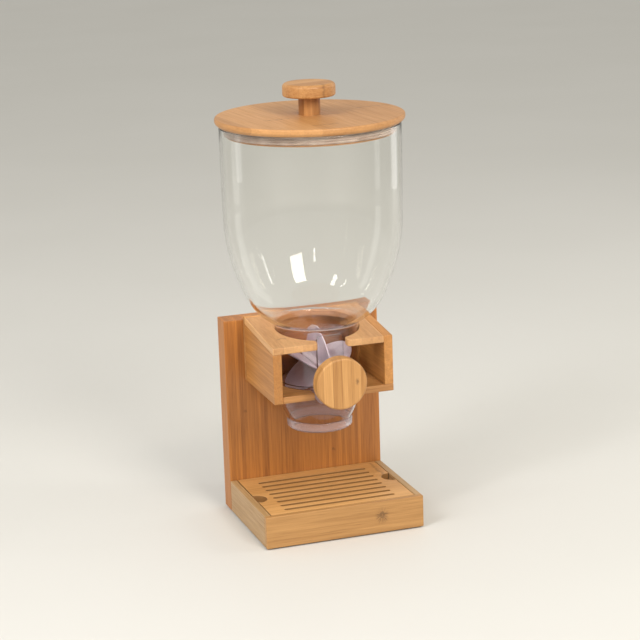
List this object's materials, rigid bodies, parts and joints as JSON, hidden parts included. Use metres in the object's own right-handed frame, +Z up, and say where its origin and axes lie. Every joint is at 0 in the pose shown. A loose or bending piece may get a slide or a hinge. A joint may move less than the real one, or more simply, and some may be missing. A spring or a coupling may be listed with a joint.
{
  "type": "cereal dispenser",
  "caption": "Tabletop dry food dispenser: clear hopper on a bamboo stand with a bracket, front knob that turns a paddle rotor, lift-off lid and lift-out drip grille.",
  "frame": {"origin": "on the hopper's vertical axis at the surface that the stand rests on", "axes": "+Z up along the hopper's axis, -Y towards the front knob, +X to the right seen from the front"},
  "size_m": [0.165, 0.165, 0.395],
  "materials": {
    "bamboo": "satin lacquer",
    "bamboo_pale": "satin lacquer",
    "clear_plastic": "clear gloss",
    "silicone_white": "satin",
    "silicone_grey": "satin",
    "white_plastic": "satin",
    "steel": "satin"
  },
  "bodies": {
    "stand": {"base_front_rail": "bamboo", "base_left_rail": "bamboo", "base_right_rail": "bamboo", "base_floor": "bamboo_pale", "back_panel": "bamboo", "foot_pads": "silicone_grey", "base_screws": "steel", "bracket_screws": "steel", "bracket_left_side": "bamboo", "bracket_right_side": "bamboo", "bracket_top_board": "bamboo_pale", "bracket_bottom_board": "bamboo_pale", "bracket_back_board": "bamboo"},
    "grille": {"drip_grille": "bamboo"},
    "hopper": {"hopper_wall": "clear_plastic", "hopper_bowl": "clear_plastic", "hopper_neck": "clear_plastic", "shaft_plate": "clear_plastic", "shaft_bush": "white_plastic"},
    "rotor": {"drive_shaft": "steel", "knob_stem": "bamboo", "front_knob": "bamboo", "rotor_hub": "white_plastic", "rotor_blade_1": "silicone_white", "rotor_blade_2": "silicone_white", "rotor_blade_3": "silicone_white", "rotor_blade_4": "silicone_white", "rotor_blade_5": "silicone_white", "rotor_blade_6": "silicone_white"},
    "lid": {"lid_disc": "bamboo", "lid_plug": "bamboo", "lid_seal": "silicone_grey", "lid_knob_stem": "bamboo_pale", "lid_knob": "bamboo_pale", "lid_screw": "steel"}
  },
  "joints": [
    {"name": "hopper_lift", "type": "slide", "parent": "stand", "child": "hopper", "axis": [0, 0, 1], "range_m": [0, 0.11]},
    {"name": "rotor_turn", "type": "hinge", "parent": "hopper", "child": "rotor", "pos_m": [0, 0, 0.142], "axis": [0, -1, 0], "continuous": true},
    {"name": "lid_lift", "type": "slide", "parent": "hopper", "child": "lid", "axis": [0, 0, 1], "range_m": [0, 0.05]},
    {"name": "grille_lift", "type": "slide", "parent": "stand", "child": "grille", "axis": [0, 0, 1], "range_m": [0, 0.03]}
  ]
}
